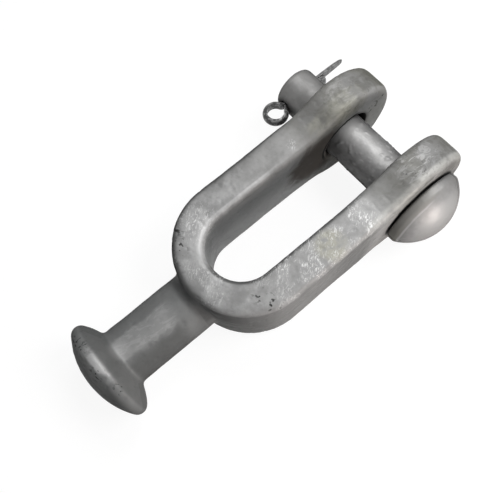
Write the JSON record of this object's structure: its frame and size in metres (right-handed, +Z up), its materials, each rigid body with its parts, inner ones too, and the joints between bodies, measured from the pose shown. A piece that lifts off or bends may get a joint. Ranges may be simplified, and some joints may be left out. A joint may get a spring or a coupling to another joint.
{
  "type": "ball clevis",
  "caption": "Forged, galvanised clevis fork with a coupling ball on its shank, closed by a loose round-headed clevis pin and a split pin; links a line fitting's eye to a ball socket.",
  "frame": {"origin": "on the common axis of the two eye bores, midway between the eyes", "axes": "+X along the clevis pin towards its head, +Y from the ball towards the eyes, +Z up, square to the plane of the fork, which lies flat"},
  "size_m": [0.0737, 0.138, 0.0404],
  "materials": {
    "forging": "hot-dip galvanised, satin, mottled",
    "pin": "hot-dip galvanised, satin",
    "wire": "dark bare steel wire"
  },
  "bodies": {
    "fork": {"ball_clevis": "forging"},
    "pin": {"clevis_pin": "pin", "split_pin": "wire"}
  },
  "joints": [
    {"name": "pin_turn", "type": "hinge", "parent": "fork", "child": "pin", "pos_m": [0, 0, -0.00082], "axis": [1, 0.0096, 0], "continuous": true}
  ]
}
